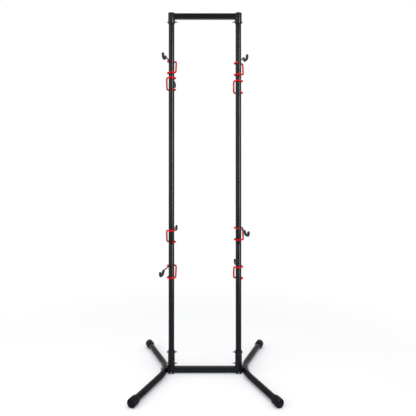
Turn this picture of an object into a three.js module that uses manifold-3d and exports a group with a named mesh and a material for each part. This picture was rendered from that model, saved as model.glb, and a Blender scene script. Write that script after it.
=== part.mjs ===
// Free-standing bike storage tower: two round posts joined by a crossbar at the head and at the foot,
// two V-shaped legs with rubber feet, and eight wire hooks that slide on the posts and lock by friction.
// Units are millimetres. +Z is up, +X is to the right and -Y is the front.
// The origin is on the floor, midway between the two posts.

import * as THREE from "three";
import { mergeVertices } from "three/addons/utils/BufferGeometryUtils.js";
import Module from "manifold-3d";

const wasm = await Module();
wasm.setup();

// Overall sizes of the frame
const towerHeight = 2013;
const postSpacing = 375;

// Posts, each of three tubes with a swaged spigot at the top of the lower two
const postRadius = 16;
const postWall = 1.5;
const spigotLength = 60;
const postFootRise = 14;
const lowerJointShare = 0.3572;
const upperJointShare = 0.6776;

// Sleeves that hold the post ends
const sleeveWall = 2.7;
const sleeveFloorGap = 1;
const topSleeveLength = 57;
const baseSleeveLength = 126;
const notchWidth = 6;
const notchHeight = 11;

// Plug in the open top of each post
const plugFlange = 3;
const plugStem = 18;
const plugChamfer = 1;

// Rectangular crossbars
const barFloorGap = 5;
const barHeight = 31;
const barDepth = 25;
const barWall = 2;
const barCorner = 3;
const endBlockLength = 14;

// V-shaped legs
const legRadius = 17;
const legWall = 2;
const legBendRadius = 262;
const legReach = 356;
const legSplay = THREE.MathUtils.degToRad(22.5);

// Saddle between a sleeve and a leg
const saddleWeb = 1.5;
const saddleLength = 32;
const saddleHeight = 28;

// Rubber feet
const footRadius = 23.5;
const footFlat = 1;
const footDepth = 38;
const footWall = 13;
const footCollarRadius = 21.5;
const footCollarLength = 8;
const footShoulder = 4;
const footEdge = 4;
const footRecessRadius = 15;
const footRecessDepth = 2.5;

// Through bolts and their nuts
const boltRadius = 3;
const boltHeadAcross = 10;
const boltHeadHeight = 6;
const boltTail = 8;
const nutAcross = 10;
const nutHeight = 6;
const boltInset = 10;
const lowBoltRise = 18;

// Leg bolts
const legBoltRadius = 4;
const legBoltHeadRadius = 7.5;
const legBoltHeadHeight = 5;
const legBoltGrip = 10;

// Wire hooks
const rodRadius = 3.5;
const vinylWall = 1.2;
const gripWall = 3.6;
const postClearance = 1.3;
const bracketHeight = 65;
const bracketBarReach = 26.5;
const bracketBarLean = 5;
const bracketCorner = 12;
const armBend = 14;
const armLead = 1;
const sleeveOverlap = 2;
const cradleStart = 120;
const cradleSlope = 20;
const cradleWidth = 38;
const cradleDip = 18;
const cradleTipHeight = 24;
const cradleTipLean = 5;
const cradleBend = 12;
const tipThickness = 3;

// How far the wire goes round the post past its side: the free end at the bottom, the arm at the top
const tailAngle = THREE.MathUtils.degToRad(65);
const wrapAngle = THREE.MathUtils.degToRad(50);

// Running clearance between pieces, overrun of cutting tools, and the span that counts as no distance
const fitGap = 0.3;
const cutOverrun = 5;
const sameSpot = 0.001;

// Facets of round pieces
const tubeSides = 16;
const legSides = 12;
const footSides = 12;
const boltSides = 8;
const wireSides = 6;
const wrapArc = THREE.MathUtils.degToRad(66);
const wrapStep = THREE.MathUtils.degToRad(34);
const cornerStep = THREE.MathUtils.degToRad(46);
const legStep = THREE.MathUtils.degToRad(7);

// Where each hook sits: its post, the side it faces, its height as a share of the tower's height
// and how many degrees it is swivelled about its post
const hookPlaces = [
  { name: "upper_front_left", post: -1, rear: false, heightShare: 0.849, swivel: -10.7 },
  { name: "upper_rear_left", post: -1, rear: true, heightShare: 0.8025, swivel: -2.8 },
  { name: "upper_front_right", post: 1, rear: false, heightShare: 0.844, swivel: 9.4 },
  { name: "upper_rear_right", post: 1, rear: true, heightShare: 0.794, swivel: -3.5 },
  { name: "lower_rear_left", post: -1, rear: true, heightShare: 0.3794, swivel: -6.2 },
  { name: "lower_front_left", post: -1, rear: false, heightShare: 0.281, swivel: -15.2 },
  { name: "lower_front_right", post: 1, rear: false, heightShare: 0.3862, swivel: 11.6 },
  { name: "lower_rear_right", post: 1, rear: true, heightShare: 0.2787, swivel: 1.6 },
];

// Sizes worked out from the ones above
const postX = postSpacing / 2;
const sleeveBore = postRadius + fitGap;
const sleeveRadius = sleeveBore + sleeveWall;
const postBore = postRadius - postWall;
const spigotRadius = postBore - fitGap;
const sleeveTop = towerHeight - plugFlange;
const topSleeveBottom = sleeveTop - topSleeveLength;
const topBoltHeight = topSleeveBottom + boltInset;
const baseSleeveTop = sleeveFloorGap + baseSleeveLength;
const highBoltHeight = baseSleeveTop - boltInset;
const lowBoltHeight = barFloorGap + barHeight + lowBoltRise;
const legHeight = footRadius - footFlat;
const legApexX = postX + sleeveRadius + saddleWeb + legRadius;
const legCornerX = legApexX - legBendRadius * (1 / Math.cos(legSplay) - 1);
const wireWrap = postRadius + postClearance + rodRadius + vinylWall;

// Finishes
const finishes = {
  glossBlack: { color: 0x15171b, roughness: 0.28, metalness: 0.3 },
  satinBlack: { color: 0x1b1c1f, roughness: 0.45, metalness: 0.2 },
  blackPlastic: { color: 0x121314, roughness: 0.5, metalness: 0 },
  rubber: { color: 0x171717, roughness: 0.8, metalness: 0 },
  zinc: { color: 0x8c9094, roughness: 0.4, metalness: 1 },
  redVinyl: { color: 0xc8142a, roughness: 0.35, metalness: 0 },
  gripRubber: { color: 0x2c2b2e, roughness: 0.85, metalness: 0 },
};

function piece(name, geometry, finish) {
  const mesh = new THREE.Mesh(geometry, new THREE.MeshStandardMaterial(finishes[finish]));
  mesh.name = name;
  return mesh;
}

// Closed solids for joining and cutting
function solidOf(geometry) {
  const bare = geometry.clone();
  bare.deleteAttribute("normal");
  bare.deleteAttribute("uv");
  const merged = mergeVertices(bare, sameSpot);
  return new wasm.Manifold(
    new wasm.Mesh({
      numProp: 3,
      vertProperties: merged.attributes.position.array,
      triVerts: new Uint32Array(merged.index.array),
    }),
  );
}

function geometryOf(solid) {
  const mesh = solid.getMesh();
  const geometry = new THREE.BufferGeometry();
  geometry.setAttribute("position", new THREE.BufferAttribute(mesh.vertProperties, 3));
  geometry.setIndex(new THREE.BufferAttribute(mesh.triVerts, 1));
  const faceted = geometry.toNonIndexed();
  faceted.computeVertexNormals();
  return faceted;
}

function cut(geometry, ...tools) {
  let solid = solidOf(geometry);
  for (const tool of tools) solid = solid.subtract(solidOf(tool));
  return geometryOf(solid);
}

function join(geometry, ...others) {
  let solid = solidOf(geometry);
  for (const other of others) solid = solid.add(solidOf(other));
  return geometryOf(solid);
}

// A profile of [radius, height] pairs turned about the Z axis
function turned(profile, sides) {
  const points = profile.map(([radius, height]) => new THREE.Vector2(radius, height));
  return new THREE.LatheGeometry(points, sides).rotateX(Math.PI / 2);
}

function closed(profile) {
  return [...profile, profile[0]];
}

// A round bar along X, for bolts and for the holes that take them
function barAlongX(radius, fromX, toX, height, sides) {
  return new THREE.CylinderGeometry(radius, radius, toX - fromX, sides)
    .rotateZ(Math.PI / 2)
    .translate((fromX + toX) / 2, 0, height);
}

function uprightBar(radius, bottom, top, sides) {
  return new THREE.CylinderGeometry(radius, radius, top - bottom, sides)
    .rotateX(Math.PI / 2)
    .rotateZ(Math.PI / 2)
    .translate(0, 0, (bottom + top) / 2);
}

function block(fromX, toX, width, bottom, top) {
  return new THREE.BoxGeometry(toX - fromX, width, top - bottom).translate(
    (fromX + toX) / 2,
    0,
    (bottom + top) / 2,
  );
}

function polygon(radius, sides, turn = 0) {
  return Array.from({ length: sides }, (_, i) => {
    const angle = turn + (2 * Math.PI * i) / sides;
    return new THREE.Vector2(radius * Math.cos(angle), radius * Math.sin(angle));
  });
}

// A section that is round outside, with a round bore where one is asked for
function roundSection(radius, sides, bore = 0) {
  const section = new THREE.Shape(polygon(radius, sides));
  if (bore > 0) section.holes.push(new THREE.Path(polygon(bore, sides)));
  return section;
}

// The centre line of a bent tube or wire: straight runs joined by round bends.
// Its stations lie at the ends of the straights and at even steps round each bend.
class BentLine extends THREE.Curve {
  constructor(stations) {
    super();
    this.stations = stations;
  }

  // The corners are where the straight runs would meet, each with the radius of its bend
  // and the largest angle of a step round it.
  static through(corners) {
    const stations = [];
    const put = (point, tangent) => {
      const last = stations.at(-1);
      if (last && last.point.distanceTo(point) < sameSpot) return;
      const length = last ? last.length + last.point.distanceTo(point) : 0;
      stations.push({ point, tangent, length });
    };
    const heading = (i) => corners[i + 1].at.clone().sub(corners[i].at).normalize();
    put(corners[0].at.clone(), heading(0));
    for (let i = 1; i < corners.length - 1; i++) {
      const inward = heading(i - 1);
      const outward = heading(i);
      const turn = inward.angleTo(outward);
      const side = outward.clone().addScaledVector(inward, -inward.dot(outward)).normalize();
      const { bend: radius, step } = corners[i];
      const start = corners[i].at.clone().addScaledVector(inward, -radius * Math.tan(turn / 2));
      const steps = Math.ceil(turn / step);
      for (let k = 0; k <= steps; k++) {
        const angle = (turn * k) / steps;
        const point = start
          .clone()
          .addScaledVector(inward, radius * Math.sin(angle))
          .addScaledVector(side, radius * (1 - Math.cos(angle)));
        const tangent = inward
          .clone()
          .multiplyScalar(Math.cos(angle))
          .addScaledVector(side, Math.sin(angle));
        put(point, tangent);
      }
    }
    put(corners.at(-1).at.clone(), heading(corners.length - 2));
    BentLine.carryNormals(stations);
    return new BentLine(stations);
  }

  // Carries one normal along the line without twist, so that every tube on it has the same facets.
  static carryNormals(stations) {
    const up = new THREE.Vector3(0, 0, 1);
    const first = stations[0];
    first.normal = up.addScaledVector(first.tangent, -up.dot(first.tangent)).normalize();
    for (let i = 1; i < stations.length; i++) {
      const turn = new THREE.Quaternion().setFromUnitVectors(
        stations[i - 1].tangent,
        stations[i].tangent,
      );
      stations[i].normal = stations[i - 1].normal.clone().applyQuaternion(turn).normalize();
    }
  }

  get length() {
    return this.stations.at(-1).length;
  }

  stationAt(length) {
    const after = this.stations.findIndex((s) => s.length > length);
    const end = after < 0 ? this.stations.length - 1 : after;
    const a = this.stations[end - 1];
    const b = this.stations[end];
    const share = (length - a.length) / (b.length - a.length);
    return {
      point: a.point.clone().lerp(b.point, share),
      tangent: a.tangent.clone().lerp(b.tangent, share).normalize(),
      normal: a.normal.clone().lerp(b.normal, share).normalize(),
      length,
    };
  }

  // The part of the line between two lengths along it
  stretch(from, to) {
    const inside = this.stations.filter(
      (s) => s.length > from + sameSpot && s.length < to - sameSpot,
    );
    return new BentLine([this.stationAt(from), ...inside, this.stationAt(to)]);
  }

  lengthNearest(point) {
    const distance = (s) => s.point.distanceTo(point);
    return this.stations.reduce((a, b) => (distance(b) < distance(a) ? b : a)).length;
  }

  station(share) {
    return this.stations[Math.round(share * (this.stations.length - 1))];
  }

  getPointAt(share) {
    return this.station(share).point.clone();
  }

  getTangentAt(share) {
    return this.station(share).tangent.clone();
  }

  computeFrenetFrames() {
    const tangents = this.stations.map((s) => s.tangent.clone());
    const normals = this.stations.map((s) => s.normal.clone());
    const binormals = this.stations.map((s) => s.tangent.clone().cross(s.normal));
    return { tangents, normals, binormals };
  }

  sweep(section) {
    return new THREE.ExtrudeGeometry(section, {
      steps: this.stations.length - 1,
      extrudePath: this,
    });
  }
}

// Posts
function postSection(bottom, top, hasSpigot) {
  const outline = [
    [postBore, bottom],
    [postRadius, bottom],
    [postRadius, top],
  ];
  if (hasSpigot) {
    outline.push([spigotRadius, top]);
    outline.push([spigotRadius, top + spigotLength]);
    outline.push([spigotRadius - postWall, top + spigotLength]);
    outline.push([spigotRadius - postWall, top - postWall]);
    outline.push([postBore, top - postWall - (postBore - spigotRadius + postWall)]);
  } else {
    outline.push([postBore, top]);
  }
  return turned(closed(outline), tubeSides);
}

// A hole through both walls of a post and its sleeve, along X
function crossHole(radius, height) {
  const reach = sleeveRadius + cutOverrun;
  return barAlongX(radius + fitGap, -reach, reach, height, boltSides);
}

function postSections() {
  const lowerJoint = towerHeight * lowerJointShare;
  const upperJoint = towerHeight * upperJointShare;
  const foot = sleeveFloorGap + postFootRise;
  return {
    post_lower: cut(
      postSection(foot, lowerJoint, true),
      crossHole(boltRadius, lowBoltHeight),
      crossHole(boltRadius, highBoltHeight),
      crossHole(legBoltRadius, legHeight),
    ),
    post_middle: postSection(lowerJoint, upperJoint, true),
    post_upper: cut(postSection(upperJoint, sleeveTop, false), crossHole(boltRadius, topBoltHeight)),
  };
}

// Sleeves and plug
function sleeveTube(bottom, top) {
  const outline = [
    [sleeveBore, bottom],
    [sleeveRadius, bottom],
    [sleeveRadius, top],
    [sleeveBore, top],
  ];
  return turned(closed(outline), tubeSides);
}

function topSleeve() {
  return cut(sleeveTube(topSleeveBottom, sleeveTop), crossHole(boltRadius, topBoltHeight));
}

function baseSleeve() {
  const depth = 2 * (sleeveRadius + cutOverrun);
  const notch = block(
    -notchWidth / 2,
    notchWidth / 2,
    depth,
    sleeveFloorGap - cutOverrun,
    sleeveFloorGap + notchHeight,
  );
  return cut(
    sleeveTube(sleeveFloorGap, baseSleeveTop),
    crossHole(boltRadius, lowBoltHeight),
    crossHole(boltRadius, highBoltHeight),
    crossHole(legBoltRadius, legHeight),
    notch,
  );
}

function postPlug() {
  return turned(
    [
      [0, sleeveTop - plugStem],
      [spigotRadius, sleeveTop - plugStem],
      [spigotRadius, sleeveTop],
      [sleeveRadius, sleeveTop],
      [sleeveRadius, towerHeight - plugChamfer],
      [sleeveRadius - plugChamfer, towerHeight],
      [0, towerHeight],
    ],
    tubeSides,
  );
}

// Crossbars
function roundedRectangle(height, depth, corner) {
  const shape = new THREE.Shape();
  const a = height / 2 - corner;
  const b = depth / 2 - corner;
  shape.absarc(a, b, corner, 0, Math.PI / 2);
  shape.absarc(-a, b, corner, Math.PI / 2, Math.PI);
  shape.absarc(-a, -b, corner, Math.PI, 1.5 * Math.PI);
  shape.absarc(a, -b, corner, 1.5 * Math.PI, 2 * Math.PI);
  return shape;
}

// A prism of the section along X, centred between the posts, its middle at the given height
function barPrism(section, halfLength, height) {
  return new THREE.ExtrudeGeometry(section, {
    depth: 2 * halfLength,
    bevelEnabled: false,
    curveSegments: 1,
  })
    .translate(0, 0, -halfLength)
    .rotateY(Math.PI / 2)
    .translate(0, 0, height);
}

// Both ends are hollowed to seat on the round sleeves.
function sleeveSeats(bottom, top) {
  const seat = () =>
    uprightBar(sleeveRadius + fitGap, bottom - cutOverrun, top + cutOverrun, tubeSides);
  return [seat().translate(postX, 0, 0), seat().translate(-postX, 0, 0)];
}

function crossbar(bottom, boreHalfLength) {
  const middle = bottom + barHeight / 2;
  const outer = roundedRectangle(barHeight, barDepth, barCorner);
  const inner = roundedRectangle(
    barHeight - 2 * barWall,
    barDepth - 2 * barWall,
    barCorner - barWall,
  );
  return cut(
    barPrism(outer, postX - barDepth / 2, middle),
    barPrism(inner, boreHalfLength, middle),
    ...sleeveSeats(bottom, bottom + barHeight),
  );
}

function topCrossbar() {
  return crossbar(sleeveTop - barHeight, postX);
}

// The base bar has a solid block in each end, tapped for the leg bolt.
function baseCrossbar() {
  const boreHalfLength = postX - sleeveRadius - endBlockLength;
  const tapped = barAlongX(legBoltRadius + fitGap, -postX, postX, legHeight, boltSides);
  return cut(crossbar(barFloorGap, boreHalfLength), tapped);
}

// Legs, on the right side, bent round the sleeve and opening outwards
function legLine() {
  const run = legReach / Math.cos(legSplay);
  const end = (sign) =>
    new THREE.Vector3(
      legCornerX + run * Math.sin(legSplay),
      sign * run * Math.cos(legSplay),
      legHeight,
    );
  return BentLine.through([
    { at: end(-1) },
    { at: new THREE.Vector3(legCornerX, 0, legHeight), bend: legBendRadius, step: legStep },
    { at: end(1) },
  ]);
}

function leg() {
  const tube = legLine().sweep(roundSection(legRadius, legSides, legRadius - legWall));
  const hole = barAlongX(
    legBoltRadius + fitGap,
    postX,
    legApexX + legRadius + cutOverrun,
    legHeight,
    boltSides,
  );
  return cut(tube, hole);
}

function legSaddle() {
  const body = block(
    postX + postRadius / 2,
    legApexX,
    saddleLength,
    legHeight - saddleHeight / 2,
    legHeight + saddleHeight / 2,
  );
  const sleeve = uprightBar(
    sleeveRadius + fitGap,
    0,
    legHeight + saddleHeight,
    tubeSides,
  ).translate(postX, 0, 0);
  const tube = legLine().sweep(roundSection(legRadius + fitGap, legSides));
  const hole = barAlongX(legBoltRadius + fitGap, postX, legApexX, legHeight, boltSides);
  return cut(body, sleeve, tube, hole);
}

// A foot about the Z axis, its mouth downwards and its end face up, before it is laid on its leg
function footProfile() {
  const mouth = -footDepth;
  const bore = (legRadius + fitGap) / Math.cos(Math.PI / footSides);
  return [
    [0, fitGap],
    [bore, fitGap],
    [bore, mouth],
    [footCollarRadius, mouth],
    [footCollarRadius, mouth + footCollarLength],
    [footRadius, mouth + footCollarLength + footShoulder],
    [footRadius, footWall - footEdge],
    [footRadius - footEdge, footWall],
    [footRecessRadius, footWall],
    [footRecessRadius, footWall - footRecessDepth],
    [0, footWall - footRecessDepth],
  ];
}

// Each foot is laid along its leg and cut flat where it stands on the floor.
function footCap(end) {
  const line = legLine();
  const station = line.stations.at(end < 0 ? 0 : -1);
  const outward = station.tangent.clone().multiplyScalar(end < 0 ? -1 : 1);
  const turn = new THREE.Quaternion().setFromUnitVectors(new THREE.Vector3(0, 0, 1), outward);
  const laid = turned(footProfile(), footSides)
    .applyQuaternion(turn)
    .translate(station.point.x, station.point.y, station.point.z);
  const reach = 2 * (footDepth + footWall);
  const floor = block(-reach, reach, 2 * reach, -footRadius, 0).translate(
    station.point.x,
    station.point.y,
    0,
  );
  return cut(laid, floor);
}

// Bolts and nuts, on the right side: heads outwards, nuts between the posts
function hexagon(across) {
  return polygon(across / Math.sqrt(3), 6, Math.PI / 6);
}

function hexPrism(across, height, bore = 0) {
  const section = new THREE.Shape(hexagon(across));
  if (bore > 0) section.holes.push(new THREE.Path(polygon(bore, boltSides)));
  return new THREE.ExtrudeGeometry(section, { depth: height, bevelEnabled: false }).rotateY(
    Math.PI / 2,
  );
}

function throughBolt(height) {
  const headSeat = sleeveRadius + fitGap;
  const tail = -(sleeveRadius + fitGap + nutHeight + boltTail);
  const shank = barAlongX(boltRadius, tail, headSeat + boltHeadHeight / 2, height, boltSides);
  const head = hexPrism(boltHeadAcross, boltHeadHeight).translate(headSeat, 0, height);
  return join(shank, head);
}

function throughNut(height) {
  return hexPrism(nutAcross, nutHeight, boltRadius + fitGap).translate(
    -(sleeveRadius + fitGap + nutHeight),
    0,
    height,
  );
}

function legBolt() {
  const bulge = legBoltHeadRadius * Math.tan(legStep / 2);
  const headSeat = legApexX + legRadius + bulge + fitGap;
  const tip = postX - sleeveRadius - legBoltGrip;
  const headMiddle = headSeat + legBoltHeadHeight / 2;
  const shank = barAlongX(legBoltRadius, tip, headMiddle, legHeight, boltSides);
  const head = turned(
    [
      [0, 0],
      [legBoltHeadRadius, 0],
      [legBoltHeadRadius, legBoltHeadHeight / 2],
      [legBoltHeadRadius / 2, legBoltHeadHeight],
      [0, legBoltHeadHeight],
    ],
    boltSides,
  )
    .rotateY(Math.PI / 2)
    .translate(headSeat, 0, legHeight);
  return join(shank, head);
}

// Corners of a wire bent round the post at one height. Angles run from the side of the bracket's bar
// towards the front. The first angle is where the wire meets the post and the last where it leaves.
function aroundPost(from, to, height) {
  const count = Math.ceil(Math.abs(to - from) / wrapArc);
  const arc = (to - from) / count;
  const reach = wireWrap / Math.cos(arc / 2);
  return Array.from({ length: count }, (_, i) => {
    const angle = from + arc * (i + 1 / 2);
    const at = new THREE.Vector3(reach * Math.cos(angle), -reach * Math.sin(angle), height);
    return { at, bend: wireWrap, step: wrapStep };
  });
}

// One wire hook about its post's axis, at the height of its bracket's middle, its arm forwards.
// The lower end comes round the far side and the front of the post to the bar beside it.
// The bar climbs, and the upper run goes round the back and the far side and out into the arm.
function hookLine() {
  const low = -bracketHeight / 2;
  const high = bracketHeight / 2;
  const place = (x, forward, z) => new THREE.Vector3(x, -forward, z);
  const onPost = (angle) =>
    new THREE.Vector2(wireWrap * Math.cos(angle), wireWrap * Math.sin(angle));
  const barReach = Math.hypot(bracketBarReach, bracketBarLean);
  const barTangent = Math.atan2(bracketBarLean, bracketBarReach) + Math.acos(wireWrap / barReach);
  const tail = onPost(Math.PI + tailAngle);
  const lead = armLead + armBend * Math.tan(wrapAngle / 2);
  const root = onPost(Math.PI - wrapAngle).add(
    new THREE.Vector2(Math.sin(wrapAngle), Math.cos(wrapAngle)).multiplyScalar(lead),
  );
  const dip = high - cradleDip;
  const floorStart = cradleStart + cradleSlope;
  const floorEnd = floorStart + cradleWidth;
  const aim = new THREE.Vector2(0, (floorStart + floorEnd) / 2).sub(root).normalize();
  const along = (forward, z) => {
    const distance = (forward - root.y) / aim.y;
    return place(root.x + aim.x * distance, forward, z);
  };
  const corner = (at, bend, step = cornerStep) => ({ at, bend, step });
  return BentLine.through([
    { at: place(tail.x, tail.y, low) },
    ...aroundPost(Math.PI + tailAngle, barTangent, low),
    corner(place(bracketBarReach, bracketBarLean, low), bracketCorner),
    corner(place(bracketBarReach, -bracketBarLean, high), bracketCorner),
    ...aroundPost(2 * Math.PI - barTangent, Math.PI - wrapAngle, high),
    corner(place(root.x, root.y, high), armBend, wrapStep),
    corner(along(cradleStart, high), cradleBend),
    corner(along(floorStart, dip), cradleBend),
    corner(along(floorEnd, dip), cradleBend),
    { at: along(floorEnd + cradleTipLean, dip + cradleTipHeight) },
  ]);
}

// A covering over a stretch of the wire, closed at one end of the wire
function covering(line, from, to, radius) {
  const bore = rodRadius + fitGap / Math.cos(Math.PI / wireSides);
  const tube = line.stretch(from, to).sweep(roundSection(radius, wireSides, bore));
  const inner = from > 0 ? to - tipThickness : from;
  const plug = line.stretch(inner, inner + tipThickness);
  return join(tube, plug.sweep(roundSection((bore + radius) / 2, wireSides)));
}

function hookPieces() {
  const line = hookLine();
  const high = bracketHeight / 2;
  const rodStart = tipThickness + fitGap;
  const armStart = line.lengthNearest(new THREE.Vector3(0, -wireWrap - armBend, high));
  const gripStart = line.lengthNearest(new THREE.Vector3(0, -cradleStart, high));
  return {
    hook_rod: line.stretch(rodStart, line.length - rodStart).sweep(roundSection(rodRadius, wireSides)),
    hook_sleeve: covering(line, 0, armStart + sleeveOverlap, rodRadius + vinylWall),
    hook_grip: covering(line, gripStart - sleeveOverlap, line.length, rodRadius + gripWall),
  };
}

const hookFinish = { hook_rod: "satinBlack", hook_sleeve: "redVinyl", hook_grip: "gripRubber" };

function hooks() {
  const group = new THREE.Group();
  const shapes = hookPieces();
  for (const { name, post, rear, heightShare, swivel } of hookPlaces) {
    const hook = new THREE.Group();
    hook.position.set(post * postX, 0, heightShare * towerHeight);
    hook.rotation.z = (rear ? Math.PI : 0) + THREE.MathUtils.degToRad(swivel);
    for (const [part, geometry] of Object.entries(shapes))
      hook.add(piece(`${name}_${part}`, geometry, hookFinish[part]));
    group.add(hook);
  }
  return group;
}

// Everything on the post's own axis, then what stands beside it
function postShapes() {
  const posts = postSections();
  return [
    ["post_lower", posts.post_lower, "glossBlack"],
    ["post_middle", posts.post_middle, "glossBlack"],
    ["post_upper", posts.post_upper, "glossBlack"],
    ["post_plug", postPlug(), "blackPlastic"],
    ["top_sleeve", topSleeve(), "glossBlack"],
    ["base_sleeve", baseSleeve(), "glossBlack"],
    ["top_bolt", throughBolt(topBoltHeight), "zinc"],
    ["top_nut", throughNut(topBoltHeight), "zinc"],
    ["base_bolt_high", throughBolt(highBoltHeight), "zinc"],
    ["base_nut_high", throughNut(highBoltHeight), "zinc"],
    ["base_bolt_low", throughBolt(lowBoltHeight), "zinc"],
    ["base_nut_low", throughNut(lowBoltHeight), "zinc"],
  ];
}

function sideShapes() {
  return [
    ["leg", leg(), "satinBlack"],
    ["leg_saddle", legSaddle(), "blackPlastic"],
    ["leg_bolt", legBolt(), "zinc"],
  ];
}

// The left side is the right side turned half round, so its front foot is the other one.
function side(name, turn, posts, others, feet) {
  const group = new THREE.Group();
  const column = new THREE.Group();
  column.position.x = postX;
  for (const [part, geometry, finish] of posts) column.add(piece(`${part}_${name}`, geometry, finish));
  for (const [part, geometry, finish] of others) group.add(piece(`${part}_${name}`, geometry, finish));
  group.add(piece(`foot_cap_front_${name}`, feet[0], "rubber"));
  group.add(piece(`foot_cap_rear_${name}`, feet[1], "rubber"));
  group.add(column);
  group.rotation.z = turn;
  return group;
}

const tower = new THREE.Group();
const postSet = postShapes();
const sideSet = sideShapes();
const feet = [footCap(-1), footCap(1)];
tower.add(side("right", 0, postSet, sideSet, feet));
tower.add(side("left", Math.PI, postSet, sideSet, [feet[1], feet[0]]));
tower.add(piece("top_crossbar", topCrossbar(), "glossBlack"));
tower.add(piece("base_crossbar", baseCrossbar(), "glossBlack"));
tower.add(hooks());

export default tower;
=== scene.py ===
"""The looks of a free-standing bike storage tower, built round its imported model.

Lengths are in metres, with +Z up, +X to the right and -Y to the front. The origin is on the floor, midway
between the two posts. Every finished mesh holds its own place, so every object stays at the origin.
"""

import logging
import math
from collections.abc import Sequence
from dataclasses import dataclass
from enum import Enum

import bmesh
import bpy
from mathutils import Matrix, Vector


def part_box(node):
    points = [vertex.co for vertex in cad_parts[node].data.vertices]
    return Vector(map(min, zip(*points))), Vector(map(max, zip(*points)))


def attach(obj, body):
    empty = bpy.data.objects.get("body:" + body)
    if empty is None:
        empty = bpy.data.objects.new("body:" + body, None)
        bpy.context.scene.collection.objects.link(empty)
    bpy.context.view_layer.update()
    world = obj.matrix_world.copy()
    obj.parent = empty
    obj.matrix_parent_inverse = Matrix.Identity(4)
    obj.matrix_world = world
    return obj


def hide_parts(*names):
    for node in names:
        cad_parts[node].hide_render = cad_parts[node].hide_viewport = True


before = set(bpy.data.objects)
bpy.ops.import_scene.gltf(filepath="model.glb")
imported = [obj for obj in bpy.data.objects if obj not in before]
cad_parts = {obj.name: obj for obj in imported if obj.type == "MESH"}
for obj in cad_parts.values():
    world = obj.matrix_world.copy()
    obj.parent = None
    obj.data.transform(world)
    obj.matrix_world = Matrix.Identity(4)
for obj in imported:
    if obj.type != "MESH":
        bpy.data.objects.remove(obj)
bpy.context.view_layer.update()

log = logging.getLogger("tower")

FRAME_BODY = "frame"
TINY = 1e-6
FILLET_STEPS = 4
SHARP_ANGLE = math.radians(38)
TUBE_SIDES = 72
WIRE_SIDES = 24

# The display curve of sRGB: its top value, where its straight part ends, that part's slope,
# and the offset and power of the rest
CHANNEL_TOP = 255
CURVE_START = 0.04045
CURVE_SLOPE = 12.92
CURVE_OFFSET = 0.055
CURVE_POWER = 2.4

# The stretch that most values of a cloudy pattern lie in
PATTERN_RANGE = (0.3, 0.7)

# A ripple of weld metal: its facets, how flat it lies, and its smallest and largest size
RIPPLE_SEGMENTS = 8
RIPPLE_RINGS = 6
RIPPLE_SHAPE = (1.0, 1.0, 0.7)
RIPPLE_SIZES = (0.88, 1.08)

# Attributes that the trees read, and that a finished mesh has no use for
GIRTH = "girth"
OUTWARD = "outward"

Ring = list[Vector]
Colour = tuple[float, float, float, float]
Mesh = bpy.types.Mesh
Socket = bpy.types.NodeSocket
Verts = list[bmesh.types.BMVert]


class Side(Enum):
    """Which post a piece belongs to, with the sign of its place along X."""

    LEFT = -1
    RIGHT = 1

    @property
    def word(self) -> str:
        """The side's name as it stands at the end of a node's name."""
        return self.name.lower()


class Facing(Enum):
    """Which way a hook's arm points, as a turn about its post."""

    FRONT = 0.0
    REAR = math.pi


class Slot(Enum):
    """The record's material slots."""

    GLOSS_BLACK = "gloss_black_paint"
    SATIN_BLACK = "satin_black_paint"
    PLASTIC = "black_plastic"
    FOOT_RUBBER = "foot_rubber"
    ZINC = "zinc_steel"
    RED_VINYL = "red_vinyl"
    GRIP_RUBBER = "grip_rubber"


def linear(colour: Sequence[int], lift: float = 1.0) -> Colour:
    """Turns a display colour into the renderer's linear one.

    Args:
        colour: Red, green and blue from 0 to 255.
        lift: What the linear colour is multiplied by.

    Returns:
        Linear red, green and blue, with an alpha of 1.
    """
    flat = []
    for share in (channel / CHANNEL_TOP for channel in colour):
        curved = ((share + CURVE_OFFSET) / (1 + CURVE_OFFSET)) ** CURVE_POWER
        flat.append(share / CURVE_SLOPE if share <= CURVE_START else curved)
    return (*(min(1.0, lift * value) for value in flat), 1.0)


def add_node(
    tree: bpy.types.NodeTree, kind: str, sockets: dict[str | int, object], **settings: object
) -> bpy.types.Node:
    """Adds a node to a shader or geometry tree.

    Args:
        tree: The tree.
        kind: The node's type name.
        sockets: A value or another node's socket for each input, by the input's name or number.
        **settings: Properties of the node itself.

    Returns:
        The new node.
    """
    node = tree.nodes.new(kind)
    for name, value in settings.items():
        setattr(node, name, value)
    for key, value in sockets.items():
        named = (s for s in node.inputs if s.name == key and s.enabled)
        socket = node.inputs[key] if isinstance(key, int) else next(named)
        if isinstance(value, Socket):
            tree.links.new(value, socket)
        else:
            socket.default_value = value
    return node


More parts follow.
